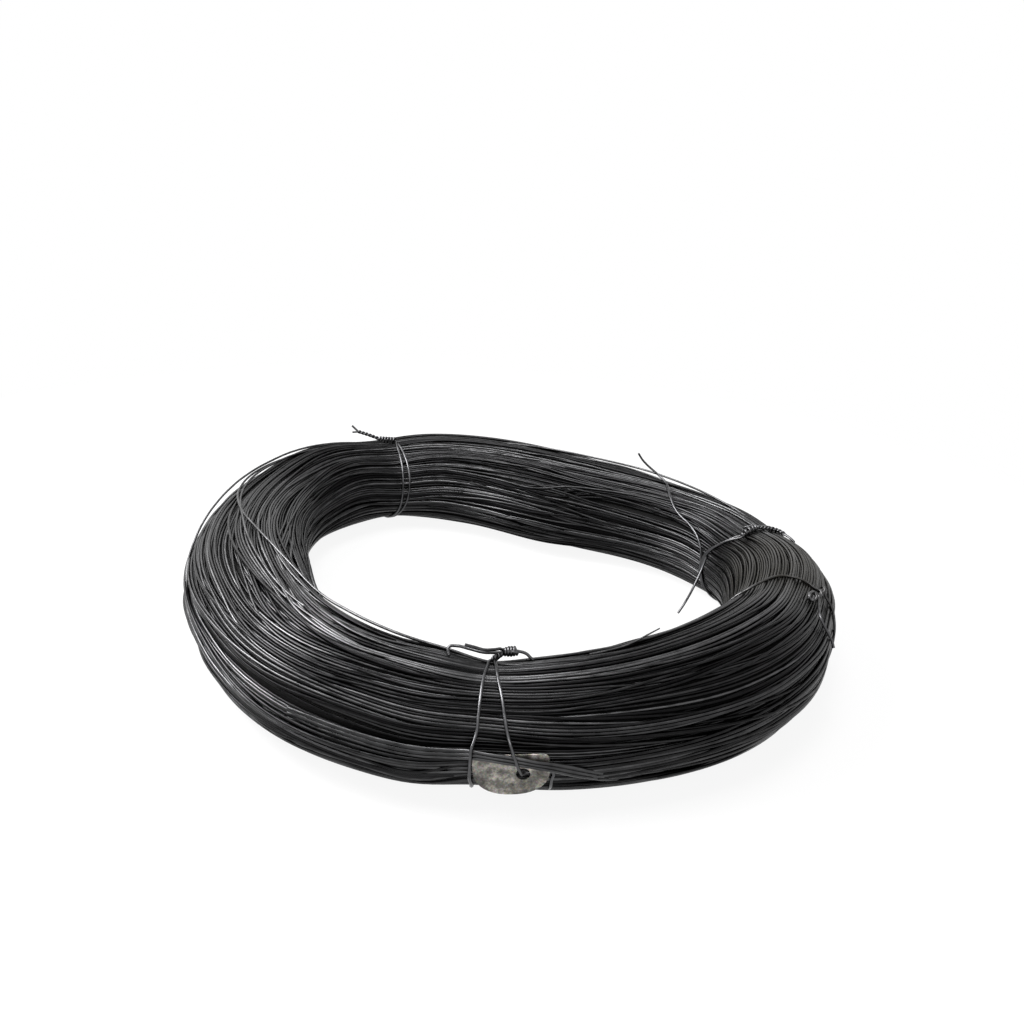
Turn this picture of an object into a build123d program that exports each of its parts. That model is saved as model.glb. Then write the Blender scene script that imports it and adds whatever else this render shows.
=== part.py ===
from build123d import *
from math import atan2, cos, degrees, hypot, pi, radians, sin, tan
import os

os.makedirs("parts", exist_ok=True)

# Coil of black annealed wire as it lies on the floor, in millimetres.
# +Z is up, +X is the long way of the coil, and the front, with the tag, faces -Y.

# Outside size of the coil and of its bundle of turns
coil_length = 614.0
coil_width = 576.0
bundle_width = 103.0
bundle_height = 90.0

# The coil is no true ring: how full it is beside a plain oval, at every 30 degrees from +X
fullness = (1.0, 0.958, 0.878, 1.0, 1.108, 1.088, 1.0, 0.971, 1.016, 1.0, 0.958, 0.990)

# The bundle's section is made of flat bands of turns, a multiple of four of them.
# A roundness of 2 gives an oval, and a smaller one a fuller section.
bundle_bands = 12
top_roundness = 1.85
foot_roundness = 1.6
band_groove = 1.8

# Wire, and the slots in which its ties pass under the bundle
wire_diameter = 2.5
wire_sides = 6
tie_play = 0.1
floor_gap = 0.3
slot_width = 3.6

# Bearing of each tie, in degrees anticlockwise from +X
front_tie_bearing = 266.4
back_left_tie_bearing = 125.5
back_right_tie_bearing = 9.5
right_tie_bearing = 343.0

# How far out from the middle of the bundle each knot lies
front_knot_side = -9.0
back_left_knot_side = -1.0
back_right_knot_side = -24.0
right_knot_side = 16.0

# Twisted knots
twist_pitch = 10.0
twist_turns = 2
knot_lift = 3.4

# Tag, and the leg of the front tie that it hangs on
tag_bearing = 271.3
tag_width = 53.0
tag_height = 33.0
tag_thickness = 0.8
tag_corner_radius = 5.0
tag_foot_radius = 24.0
tag_bottom = 25.0
tag_tilt = 7.0
tag_gap = 1.9
tag_hole_diameter = 10.0
tag_hole_side = 10.0
tag_hole_rise = 2.0
leg_clearance = 0.5
leg_lead = 0.05
leg_margin = 5.0
leg_bend_radius = 2.0

# Stretches of turns that stand off the bundle: bearing, how far out on the bundle, and lift
left_turn_stations = (
    (204, 46, 1.7), (192, 48, 6), (180, 49, 10), (168, 49, 12), (156, 46, 9), (144, 40, 5), (133, 34, 1.7),
)
crossing_turn_stations = (
    (150, 30, 1.7), (161, 36, 5), (172, 36, 8), (183, 28, 7), (194, 12, 5), (205, -8, 5),
    (216, -26, 5), (227, -40, 5), (238, -46, 7), (249, -45, 5), (259, -40, 1.7),
)
back_turn_stations = (
    (96, 38, 1.7), (85, 43, 5), (74, 46, 9), (63, 47, 11), (52, 46, 8), (42, 40, 1.7),
)
front_end_stations = (
    (284, -42, 1.7), (291, -45, 4), (298, -50, 9), (304, -51, 16),
)

# Long end of the back right tie, which springs across the top of the bundle, set out the same way
springy_end_stations = (
    (back_right_tie_bearing, -44, 1.4), (20, -44, 5), (30, -37, 4), (39, -18, 6), (55, 22, 23),
)

wire_radius = wire_diameter / 2
half_bundle = bundle_width / 2
slot_height = floor_gap + wire_diameter + tie_play
tie_foot = floor_gap + wire_radius
twist_length = twist_pitch * twist_turns
strand_offset = 1.1 * wire_radius


def outline_corners(reaches):
    """Corners of an outline whose sides face evenly round it, each at its own reach from the middle."""
    step = 2 * pi / len(reaches)
    corners = []
    for side, near in enumerate(reaches):
        far = reaches[(side + 1) % len(reaches)]
        along = (far - near * cos(step)) / sin(step)
        corner = Vector(near, along).rotate(Axis.Z, degrees(step) * side)
        corners.append((corner.X, corner.Y))
    return corners


def coil_corners():
    """Corners of the outline that the bundle's centre line rounds off."""
    reach_x = (coil_length - bundle_width) / 2
    reach_y = (coil_width - bundle_width) / 2
    turns = [2 * pi * side / len(fullness) for side in range(len(fullness))]
    return outline_corners(
        [full * hypot(reach_x * cos(turn), reach_y * sin(turn)) for full, turn in zip(fullness, turns)]
    )


def bundle_corners(inset=0):
    """Corners of the bundle's section standing on the floor, or of one that lies inside it."""
    reaches = []
    for side in range(bundle_bands):
        turn = 2 * pi * side / bundle_bands
        power = top_roundness if turn < pi else foot_roundness
        across = (half_bundle * abs(cos(turn))) ** power
        upright = (bundle_height / 2 * abs(sin(turn))) ** power
        reaches.append((across + upright) ** (1 / power) - inset)
    return [(x, y + bundle_height / 2) for x, y in outline_corners(reaches)]


def widest_fillets(points, closed=False):
    """The largest radius that each corner of a route has room for."""
    corners = [Vector(point) for point in points]
    places = range(len(corners)) if closed else range(1, len(corners) - 1)
    radii = []
    for place in places:
        before = corners[place - 1] - corners[place]
        after = corners[(place + 1) % len(corners)] - corners[place]
        turn = 180 - before.get_angle(after)
        radii.append(0.499 * min(before.length, after.length) / tan(radians(turn / 2)))
    return radii


def station(bearing):
    """Share of the way round the centre line at which it crosses a bearing from the middle."""
    heading = Vector(1, 0).rotate(Axis.Z, bearing)
    shares = [place / 1440 for place in range(1440)]
    return max(shares, key=lambda share: (ring @ share).normalized().dot(heading))


def section_plane(share):
    """Plane across the bundle: x out of the coil, y up from the floor, z clockwise round it."""
    return Plane(
        origin=ring @ share,
        x_dir=(ring % share).cross(Vector(0, 0, 1)),
        z_dir=-(ring % share),
    )


def cross_plane(bearing):
    """Plane across the bundle where its centre line crosses a bearing."""
    return section_plane(station(bearing))


def over_top(side, lift):
    """Point on the section's plane, a lift off the bundle's top and a side out from its middle."""
    corners = bundle_corners(-lift)[: bundle_bands // 2]
    for outer, inner in zip(corners, corners[1:]):
        if inner[0] <= side <= outer[0]:
            share = (side - inner[0]) / (outer[0] - inner[0])
            return (side, inner[1] + share * (outer[1] - inner[1]), 0)
    shoulder = corners[0] if side > 0 else corners[-1]
    return (*shoulder, 0)


def cut_slot(bearing):
    """Cut the slot in the bundle's foot that a tie passes through, clear of the floor."""
    with BuildSketch(cross_plane(bearing)) as slot:
        Rectangle(bundle_width, 2 * slot_height)
    extrude(slot.sketch, amount=slot_width / 2, both=True, mode=Mode.SUBTRACT)


def tie_route():
    """Route of a tie round the section from the middle of its top, kept off the floor."""
    corners = bundle_corners(-wire_radius - tie_play)
    quarter = bundle_bands // 4
    corners = corners[quarter:] + corners[:quarter]
    route = [(0, bundle_height + wire_radius + tie_play)]
    for last, corner in zip(corners[-1:] + corners, corners):
        if (last[1] - tie_foot) * (corner[1] - tie_foot) < 0:
            share = (tie_foot - last[1]) / (corner[1] - last[1])
            route.append((last[0] + share * (corner[0] - last[0]), tie_foot))
        if corner[1] > tie_foot:
            route.append(corner)
    return route


def run_wire(path, transition=Transition.TRANSFORMED):
    """Sweep the wire's section along a path, as part of the piece being built."""
    with BuildSketch(Plane(origin=path @ 0, z_dir=path % 0)) as section:
        RegularPolygon(wire_radius, wire_sides)
    sweep(section.sketch, path=path, transition=transition)


def lay_wire(plane, points, radii):
    """Lay the wire along straight runs joined by arcs."""
    with BuildLine(plane) as route:
        FilletPolyline(*[tuple(point) for point in points], radius=radii)
    run_wire(route.wire())


def twist_strand(axis, lead_turn):
    """Wind one strand of a knot along its axis, four straight runs to a turn."""
    points = []
    for quarter in range(4 * twist_turns + 1):
        turn = lead_turn + quarter * pi / 2
        points.append((strand_offset * cos(turn), strand_offset * sin(turn), quarter * twist_pitch / 4))
    with BuildLine(axis) as strand:
        Polyline(*points)
    run_wire(strand.wire(), Transition.RIGHT)


def bind(plane, knot_side, heading):
    """Lay a tie round the bundle and twist its ends together on top.

    It returns where the knot begins and ends, on the section's plane."""
    with BuildLine(plane) as loop:
        Polyline(*tie_route(), close=True)
    run_wire(loop.wire(), Transition.RIGHT)
    start = Vector(over_top(knot_side, knot_lift))
    axis = Plane(
        origin=plane.from_local_coords(start),
        x_dir=plane.x_dir,
        z_dir=plane.z_dir * heading,
    )
    twist_strand(axis, 0)
    twist_strand(axis, pi)
    return start, start + Vector(0, 0, heading * twist_length)


def tail(plane, start, steps, bend_radius):
    """Lay one free end of a tie: each step says how far it goes out, up and along the coil."""
    points = [start]
    for step in steps:
        points.append(points[-1] + Vector(step))
    lay_wire(plane, points, [bend_radius] * (len(points) - 2))


def stand_off(stations):
    """Lay one stretch of a turn that stands off the bundle, through its stations."""
    points = [
        tuple(cross_plane(bearing).from_local_coords(over_top(side, lift)))
        for bearing, side, lift in stations
    ]
    lay_wire(Plane.XY, points, widest_fillets(points))


with BuildLine() as centre_line:
    FilletPolyline(*coil_corners(), radius=widest_fillets(coil_corners(), closed=True), close=True)
ring = centre_line.wire()

# The tag's inner face: x to the right, y up and z out of the coil, from the tag's middle
tag_plane = cross_plane(tag_bearing)
tag_face = Plane(
    origin=tag_plane.from_local_coords((half_bundle + tag_gap, tag_bottom + tag_height / 2, 0)),
    x_dir=(-tag_plane.z_dir).rotate(Axis((0, 0, 0), tag_plane.x_dir), tag_tilt),
    z_dir=tag_plane.x_dir,
)
tag_hole = tag_face.from_local_coords((tag_hole_side, tag_hole_rise, 0))
hole_bearing = degrees(atan2(tag_hole.Y, tag_hole.X)) % 360
leg_lift = wire_radius + leg_clearance
leg_out = half_bundle + tag_gap + tag_thickness + leg_lift
leg_in_hole = tag_hole_rise + tag_hole_diameter / 2 - leg_lift

with BuildPart() as wire_coil:
    with BuildSketch(section_plane(0)):
        Polygon(*bundle_corners(), align=None)
        with Locations(*bundle_corners()[: bundle_bands // 2]):
            RegularPolygon(band_groove, 4, mode=Mode.SUBTRACT)
    sweep(path=ring)
    for bearing in (front_tie_bearing, back_left_tie_bearing, back_right_tie_bearing, right_tie_bearing):
        cut_slot(bearing)
wire_coil.part.label = "wire_coil"
export_step(wire_coil.part, "parts/wire_coil.step")

# The front tie has a second leg, which drifts along the coil on its way down to the tag's hole
with BuildPart() as tie_front:
    plane = cross_plane(front_tie_bearing)
    knot_start, knot_end = bind(plane, front_knot_side, -1)
    tail(plane, knot_end, [(-2, 3, -6), (3, 0, -9), (5, -4, -10)], 4)
    tail(plane, knot_start, [(-2, 4, 8), (-2, 3, 8), (0, -1, 4)], 3)
    tail(plane, knot_start, [(-4, 1, 9), (-2, 2, 12), (1, -4, 14)], 6)
    leg_points = [plane.from_local_coords((front_knot_side, bundle_height + knot_lift, -wire_radius))]
    route = bundle_corners(-leg_lift)[1 : bundle_bands // 4]
    route = [*reversed(route), (leg_out, tag_bottom + tag_height + leg_margin)]
    for x, y in route:
        share = max((bundle_height - y) / (bundle_height - tag_hole.Z), leg_lead)
        leg_plane = cross_plane(front_tie_bearing + share * (hole_bearing - front_tie_bearing))
        leg_points.append(leg_plane.from_local_coords((x, y, 0)))
    for z in (tag_thickness + leg_lift, -tag_gap / 2):
        leg_points.append(tag_face.from_local_coords((tag_hole_side, leg_in_hole, z)))
    lay_wire(Plane.XY, leg_points, [leg_bend_radius] * (len(leg_points) - 2))
tie_front.part.label = "tie_front"
export_step(tie_front.part, "parts/tie_front.step")

with BuildPart() as tag:
    with BuildSketch(tag_face):
        with BuildLine():
            FilletPolyline(
                (-tag_width / 2, -tag_height / 2),
                (tag_width / 2, -tag_height / 2),
                (tag_width / 2, tag_height / 2),
                (-tag_width / 2, tag_height / 2),
                radius=[tag_foot_radius, tag_foot_radius, tag_corner_radius, tag_corner_radius],
                close=True,
            )
        make_face()
        with Locations((tag_hole_side, tag_hole_rise)):
            Circle(tag_hole_diameter / 2, mode=Mode.SUBTRACT)
    extrude(amount=tag_thickness)
tag.part.label = "tag"
export_step(tag.part, "parts/tag.step")

with BuildPart() as tie_back_left:
    plane = cross_plane(back_left_tie_bearing)
    knot_start, knot_end = bind(plane, back_left_knot_side, -1)
    tail(plane, knot_end, [(2, 3, -6), (1, 4, -10), (0, -2, -12)], 5)
    tail(plane, knot_end, [(-3, 1, -3), (-6, -1, -5)], 3)
tie_back_left.part.label = "tie_back_left"
export_step(tie_back_left.part, "parts/tie_back_left.step")

with BuildPart() as tie_back_right:
    plane = cross_plane(back_right_tie_bearing)
    knot_start, knot_end = bind(plane, back_right_knot_side, -1)
    tail(plane, knot_end, [(4, 5, -3), (14, 6, 2), (14, -1, 6)], 5)
    bore_side = Vector(-half_bundle - tie_play - wire_radius, bundle_height / 2, 0)
    tail(plane, bore_side, [(-6, 2, 7), (-12, -11, 14), (-15, -20, 13)], 6)
    stand_off(springy_end_stations)
tie_back_right.part.label = "tie_back_right"
export_step(tie_back_right.part, "parts/tie_back_right.step")

with BuildPart() as tie_right:
    plane = cross_plane(right_tie_bearing)
    knot_start, knot_end = bind(plane, right_knot_side, 1)
    tail(plane, knot_end, [(9, 3, 5), (15, -7, 6), (9, -20, 2)], 8)
    tail(plane, knot_end, [(-5, 2, 4), (-6, 1, 7)], 4)
tie_right.part.label = "tie_right"
export_step(tie_right.part, "parts/tie_right.step")

with BuildPart() as loose_turn_left:
    stand_off(left_turn_stations)
loose_turn_left.part.label = "loose_turn_left"
export_step(loose_turn_left.part, "parts/loose_turn_left.step")

with BuildPart() as loose_turn_crossing:
    stand_off(crossing_turn_stations)
loose_turn_crossing.part.label = "loose_turn_crossing"
export_step(loose_turn_crossing.part, "parts/loose_turn_crossing.step")

with BuildPart() as loose_turn_back:
    stand_off(back_turn_stations)
loose_turn_back.part.label = "loose_turn_back"
export_step(loose_turn_back.part, "parts/loose_turn_back.step")

with BuildPart() as wire_end_front:
    stand_off(front_end_stations)
wire_end_front.part.label = "wire_end_front"
export_step(wire_end_front.part, "parts/wire_end_front.step")
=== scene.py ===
import math

import bpy
import numpy as np
from mathutils import Matrix, Vector


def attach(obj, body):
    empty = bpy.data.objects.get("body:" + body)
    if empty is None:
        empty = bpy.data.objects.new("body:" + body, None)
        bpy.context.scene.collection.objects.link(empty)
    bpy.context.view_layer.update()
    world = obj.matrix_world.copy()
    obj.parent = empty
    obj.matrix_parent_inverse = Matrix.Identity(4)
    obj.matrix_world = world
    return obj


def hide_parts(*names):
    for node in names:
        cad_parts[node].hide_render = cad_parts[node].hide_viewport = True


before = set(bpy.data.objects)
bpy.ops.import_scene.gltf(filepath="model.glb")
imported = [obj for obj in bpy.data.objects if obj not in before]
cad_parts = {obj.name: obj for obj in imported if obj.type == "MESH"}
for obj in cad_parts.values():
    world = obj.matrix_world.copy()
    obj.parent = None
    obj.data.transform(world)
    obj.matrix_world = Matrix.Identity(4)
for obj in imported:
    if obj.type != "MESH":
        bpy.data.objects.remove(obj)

bl_info = {
    "name": "Wire coil",
    "version": (1, 0, 0),
    "blender": (4, 5, 0),
    "location": "3D View > Sidebar > Wire coil",
    "description": "Winds a loose coil of black annealed wire, binds it with ties and hangs a tag on it",
    "category": "Object",
}

# Bearings are in degrees anticlockwise from the right, about this point on the floor
MIDDLE = np.array([-0.01084, -0.00026, 0.0])

# How the bundle's centre line and section change round the coil: shares of the plain value for the
# cosine and sine of one to four times the bearing
RING_WAVES = ((-0.0076, -0.0096), (0.0541, -0.0584), (0.0566, 0.0248), (-0.0141, 0.0048))
WIDTH_WAVES = ((-0.0322, 0.1156), (-0.091, -0.0016), (-0.0151, -0.0836))
HEIGHT_WAVES = ((0.0348, -0.0143), (-0.0003, 0.0121), (0.0039, -0.066))

TIE_BEARINGS = (269.0, 124.5, 12.0, 342.0)

# Where the bundle stands out from the waves: bearing, spread in degrees, millimetres to each side
# and on top
BULGES = (
    (2, 20, 3.0, 3.0),
    (98, 20, 3.0, -1.2),
    (139, 12, 3.6, 3.6),
    (200, 22, 2.4, 2.4),
    (219, 13, -3.6, -3.6),
    (260, 7, 3.6, 2.4),
    (310, 16, 2.0, 0.6),
)

# Where turns change places most: bearing, spread in degrees, strength
CROSSINGS = ((230, 26, 1.5), (60, 30, 0.9), (312, 24, 0.5))

# Where one lot of turns parts from the next: bearing, spread in degrees, share of the way round the
# section, and in millimetres how far each side moves and how wide the parting tapers
PARTINGS = (
    (249, 20, 0.048, 5.2, 18),
    (62, 34, 0.408, 4.6, 16),
    (210, 22, 0.2, 2.2, 10),
    (292, 14, 0.1, 3.0, 12),
    (312, 14, 0.16, 2.6, 12),
    (330, 14, 0.02, 3.2, 12),
    (120, 18, 0.46, 3.0, 12),
    (95, 16, 0.3, 2.6, 12),
    (190, 20, 0.35, 2.2, 10),
    (268, 16, 0.19, 2.2, 10),
)

# How far from a parting's middle its sides have fully moved, in metres
PARTING_EDGE = 0.0015

# Turns in a group, and how far groups shift from even places, as a share of the way to the next
FEWEST_TURNS, MOST_TURNS = 4, 8
HOME_SHIFT = 0.3

# How far groups and single turns wander along the surface and in depth, in metres, and the power
# of a wave's order by which the quicker waves of that wandering are smaller
GROUP_WANDER, GROUP_DIVE = 0.0068, 0.0012
TURN_WANDER, PITCH_CHANGE = 0.0021, 0.0002
UNDER_WANDER, UNDER_DIVE = 0.002, 0.0002
WAVE_FALL = 0.9

# In wire diameters: from one turn to the next, how deep the surface turns begin and how unevenly,
# how deep the turns beneath begin, how high a turn may settle, how much lower under a tie, and how
# near two wires may come
PITCH = 1.04
SURFACE_DEPTH, SURFACE_SPREAD = 0.5, 0.3
UNDER_DEPTH = 1.6
TOP_LIFT, TIE_PRESS = 0.45, 0.95
NEAREST = 0.98

# How far round the coil a tie presses the turns down and keeps them from changing places, in
# degrees, and how much of their dive and of their change it takes away
PRESS_SPREAD, DIVE_HELD = 7, 0.7
CHANGE_SPREAD, CHANGE_HELD = 14, 0.75

# One round of settling: how hard wires that meet push each other, how hard each is drawn back to
# its place and its depth, and how much it is smoothed along its length, less in the last rounds
PUSH = 0.36
DRAW_PLACE, DRAW_LIFT = 0.03, 0.06
RUB, LAST_RUB = 0.5, 0.2
LAST_ROUNDS, SMOOTHING_ROUNDS = 5, 5
STATIONS_AT_ONCE = 8

# Points round the bundle's section, and points along it where single wires are laid on it; the
# same for the core, and how many wire diameters it lies under the surface
SECTION_PLACES, FINE_STATIONS = 256, 720
CORE_PLACES, CORE_STATIONS, CORE_DEPTH = 40, 120, 2.5

# Modelled thickness as a share of the wire's, a little thin so that wires that touch don't cut
# each other
TURN_SHARE, TIE_SHARE, LOOSE_SHARE = 0.97, 0.96, 0.9

# How bright wires are, from 0 to 1: the ties and loose turns, the darkest turn, and the power that
# keeps most of the turns dark
TIE_TONE = 0.8
DARKEST, TONE_POWER = 0.03, 1.7

# How far a tie's wire lies off the bundle where it goes round it, in millimetres
RING_LIFT = 0.9

# Dry film and dust on top of the bundle at the right: its middle, and the distances from there over
# which it fades, in metres
DUST_SPOT = (0.2366, -0.0328, 0.0957)
DUST_NEAR, DUST_FAR = 0.03, 0.085

# Which of the Mix node's sockets hold its two ends and its result, for numbers and for colours
MIX_SOCKETS = {"FLOAT": (2, 3, 0), "RGBA": (6, 7, 2)}


def waves(plain, shares, bearing):
    """A value that varies round the coil, at bearings in radians."""
    value = np.ones_like(bearing)
    for order, (cosine, sine) in enumerate(shares, 1):
        value = value + cosine * np.cos(order * bearing) + sine * np.sin(order * bearing)
    return plain * value


def swell(bearing, at, spread):
    """A smooth hump round the coil, 1 at its middle; the bearing in radians, the rest in degrees."""
    away = np.angle(np.exp(1j * (bearing - math.radians(at))))
    return np.exp(-((away / math.radians(spread)) ** 2))


def near_ties(bearing, spread):
    """How near each bearing is to a tie, from 0 to 1."""
    return np.clip(sum(swell(bearing, tie, spread) for tie in TIE_BEARINGS), 0, 1)


class Bundle:
    """The surface that the outermost turns lie under, as rings of points round its section.

    A share of the way round the section is 0 outermost, 0.25 on top and 0.5 on the bore side."""

    def __init__(self, sizes, stations):
        self.stations = stations
        self.bearing = bearing = np.arange(stations) * 2 * math.pi / stations
        wider = -sizes.tie_pinch * near_ties(bearing, sizes.tie_pinch_spread)
        taller = wider.copy()
        for at, spread, beside, on_top in BULGES:
            wider += beside / 1000 * swell(bearing, at, spread)
            taller += on_top / 1000 * swell(bearing, at, spread)
        centre = waves(sizes.ring_radius, RING_WAVES, bearing)
        half_width = waves(sizes.half_width, WIDTH_WAVES, bearing) + wider
        half_height = waves(sizes.half_height, HEIGHT_WAVES, bearing)
        turn = np.linspace(0, 2 * math.pi, 4 * SECTION_PLACES, endpoint=False)
        power = 2 / sizes.fullness
        across = np.sign(np.cos(turn)) * np.abs(np.cos(turn)) ** power
        upright = np.sign(np.sin(turn)) * np.abs(np.sin(turn)) ** power
        rise = np.where(upright > 0, (half_height + taller)[:, None], (half_height - sizes.foot)[:, None])
        out = centre[:, None] + half_width[:, None] * across
        up = half_height[:, None] + rise * upright
        self.length = np.zeros(stations)
        self.line = np.zeros((stations, SECTION_PLACES, 2))
        for at in range(stations):
            loop = np.column_stack([out[at], up[at]])
            loop = np.vstack([loop, loop[:1]])
            run = np.concatenate([[0], np.cumsum(np.hypot(*np.diff(loop, axis=0).T))])
            self.length[at] = run[-1]
            even = np.linspace(0, run[-1], SECTION_PLACES, endpoint=False)
            self.line[at, :, 0] = np.interp(even, run, loop[:, 0])
            self.line[at, :, 1] = np.interp(even, run, loop[:, 1])
        side = np.roll(self.line, -1, 1) - np.roll(self.line, 1, 1)
        side /= np.linalg.norm(side, axis=2, keepdims=True)
        self.normal = np.stack([side[:, :, 1], -side[:, :, 0]], -1)

    def points(self, share, lift, column=None, bearing=None):
        """Points and outward directions at shares of the way round the section, lifted off it.

        The inputs have a row for each wire and a column for each station."""
        if column is None:
            column, bearing = np.arange(self.stations)[None, :], self.bearing
        place = (share % 1.0) * SECTION_PLACES
        low = np.floor(place).astype(int) % SECTION_PLACES
        high = (low + 1) % SECTION_PLACES
        part = (place - np.floor(place))[..., None]
        flat = self.line[column, low] * (1 - part) + self.line[column, high] * part
        out = self.normal[column, low] * (1 - part) + self.normal[column, high] * part
        flat = flat + out * lift[..., None]
        cosine, sine = np.cos(bearing), np.sin(bearing)
        spot = np.stack([flat[..., 0] * cosine, flat[..., 0] * sine, flat[..., 1]], -1)
        normal = np.stack([out[..., 0] * cosine, out[..., 0] * sine, out[..., 1]], -1)
        return spot + MIDDLE, normal

    def spots(self, places):
        """Points for a list of bearing in degrees, share and lift in millimetres."""
        bearing, share, lift = np.array(places, float).T
        turn = bearing % 360 / 360 * self.stations
        low = np.floor(turn).astype(int) % self.stations
        part = (turn - np.floor(turn))[:, None]
        near, _ = self.points(share, lift / 1000, low, np.radians(bearing))
        far, _ = self.points(share, lift / 1000, (low + 1) % self.stations, np.radians(bearing))
        return near * (1 - part) + far * part


def drift(random, count, stations, reach, orders, bearing):
    """Smooth wandering round the coil that comes back to where it began, one row for each wire."""
    moved = np.zeros((count, stations))
    for order in orders:
        size = reach / order**WAVE_FALL
        moved += random.normal(0, size, (count, 1)) * np.cos(order * bearing)
        moved += random.normal(0, size, (count, 1)) * np.sin(order * bearing)
    return moved


def crossing_bearing(bearing):
    """Bearings stretched so that what depends on them changes most where the turns cross."""
    pace = np.ones_like(bearing)
    for at, spread, strength in CROSSINGS:
        pace = pace + strength * swell(bearing, at, spread)
    run = np.cumsum(pace * (1 - CHANGE_HELD * near_ties(bearing, CHANGE_SPREAD)))
    return 2 * math.pi * run / run[-1]


def part_turns(place, length, bearing):
    """Move the turns apart along each parting."""
    for at, spread, share, reach, taper in PARTINGS:
        away = place - share * length
        away = away - length * np.round(away / length)
        side = np.tanh(away / PARTING_EDGE) * np.exp(-np.abs(away) / (taper / 1000))
        place = place + reach / 1000 * swell(bearing, at, spread) * side
    return place


def smooth(courses, rub):
    """Move each point of the courses part of the way to the middle of its two neighbours."""
    for values in courses:
        values += rub * ((np.roll(values, 1, 1) + np.roll(values, -1, 1)) / 2 - values)


def settle(place, lift, length, diameter, top, rounds):
    """Push the wires apart at each station until they lie beside or over each other."""
    target_place, target_lift = place.copy(), lift.copy()
    stations = place.shape[1]
    for turn in range(rounds):
        for start in range(0, stations, STATIONS_AT_ONCE):
            part = slice(start, start + STATIONS_AT_ONCE)
            across = (place[:, None, part] - place[None, :, part]).astype(np.float32)
            around = length[part].astype(np.float32)
            across -= around * np.round(across / around)
            upright = (lift[:, None, part] - lift[None, :, part]).astype(np.float32)
            gap = np.sqrt(across**2 + upright**2) + 1e-7
            push = np.maximum(diameter - gap, 0) * PUSH / gap
            place[:, part] += (push * across).sum(1)
            lift[:, part] += (push * upright).sum(1)
        place += DRAW_PLACE * (target_place - place)
        lift += DRAW_LIFT * (target_lift - lift)
        np.minimum(lift, top, out=lift)
        smooth((place, lift), RUB if turn < rounds - LAST_ROUNDS else LAST_RUB)
    for _ in range(SMOOTHING_ROUNDS):
        smooth((place, lift), RUB)
    return place, lift


def wind(sizes):
    """Points and outward directions of all turns, and how many of them are in the surface groups."""
    random = np.random.default_rng(sizes.seed)
    bundle = Bundle(sizes, sizes.stations)
    diameter, length, stations = sizes.wire_diameter, bundle.length, sizes.stations
    shifted = crossing_bearing(bundle.bearing)
    tied = near_ties(bundle.bearing, PRESS_SPREAD)
    shift = random.uniform(-HOME_SHIFT, HOME_SHIFT, sizes.groups)
    home = (np.arange(sizes.groups) + shift) / sizes.groups
    wander = drift(random, sizes.groups, stations, GROUP_WANDER, (1, 2, 3), shifted)
    dive = drift(random, sizes.groups, stations, GROUP_DIVE, (1, 2, 3), bundle.bearing)
    places, lifts = [], []
    for group in range(sizes.groups):
        turns = int(random.integers(FEWEST_TURNS, MOST_TURNS + 1))
        own = drift(random, turns, stations, TURN_WANDER, (1, 2, 3, 4, 5), shifted)
        pitch = PITCH * diameter + drift(random, 1, stations, PITCH_CHANGE, (1, 2), shifted)[0]
        for turn in range(turns):
            offset = (turn - (turns - 1) / 2) * pitch + own[turn] + wander[group]
            places.append(home[group] * length + offset)
            depth = diameter * random.normal(-SURFACE_DEPTH, SURFACE_SPREAD)
            lifts.append(dive[group] * (1 - DIVE_HELD * tied) + depth)
    surface = len(places)
    under = drift(random, sizes.under_turns, stations, UNDER_WANDER, (1, 2, 3), shifted)
    for turn in range(sizes.under_turns):
        places.append(turn / sizes.under_turns * length + under[turn])
        lifts.append(np.full(stations, -UNDER_DEPTH * diameter) + random.normal(0, UNDER_DIVE))
    place = part_turns(np.array(places), length, bundle.bearing)
    top = diameter * (TOP_LIFT - TIE_PRESS * tied)
    place, lift = settle(place, np.array(lifts), length, NEAREST * diameter, top, sizes.rounds)
    spots, normals = bundle.points(place / length, lift)
    return spots, normals, surface


def tube_mesh(name, paths, normals, radius, sides, tones):
    """One mesh of closed wires, with how bright each one is as an attribute."""
    along = np.roll(paths, -1, 1) - np.roll(paths, 1, 1)
    along /= np.linalg.norm(along, axis=2, keepdims=True)
    out = normals - (normals * along).sum(2, keepdims=True) * along
    out /= np.linalg.norm(out, axis=2, keepdims=True)
    side = np.cross(along, out)
    turn = np.arange(sides) * 2 * math.pi / sides
    rim = out[:, :, None] * np.cos(turn)[:, None] + side[:, :, None] * np.sin(turn)[:, None]
    spots = paths[:, :, None] + radius * rim
    mesh = grid_mesh(name, spots)
    tone = mesh.attributes.new("tone", "FLOAT", "POINT")
    tone.data.foreach_set("value", np.repeat(tones, spots[0, ..., 0].size).astype(np.float32))
    return mesh


def grid_mesh(name, spots):
    """A smooth mesh over one grid of points or several, each closed both ways."""
    number = np.arange(spots[..., 0].size).reshape(spots.shape[:-1])
    ahead = np.roll(number, -1, -2)
    corners = [number, np.roll(number, -1, -1), np.roll(ahead, -1, -1), ahead]
    faces = np.stack(corners, -1).reshape(-1, 4)
    mesh = bpy.data.meshes.new(name)
    mesh.vertices.add(number.size)
    mesh.vertices.foreach_set("co", spots.reshape(-1))
    mesh.loops.add(faces.size)
    mesh.loops.foreach_set("vertex_index", faces.reshape(-1))
    mesh.polygons.add(len(faces))
    mesh.polygons.foreach_set("loop_start", np.arange(len(faces)) * 4)
    mesh.polygons.foreach_set("loop_total", np.full(len(faces), 4))
    mesh.polygons.foreach_set("use_smooth", np.full(len(faces), True))
    mesh.update(calc_edges=True)
    return mesh


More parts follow.
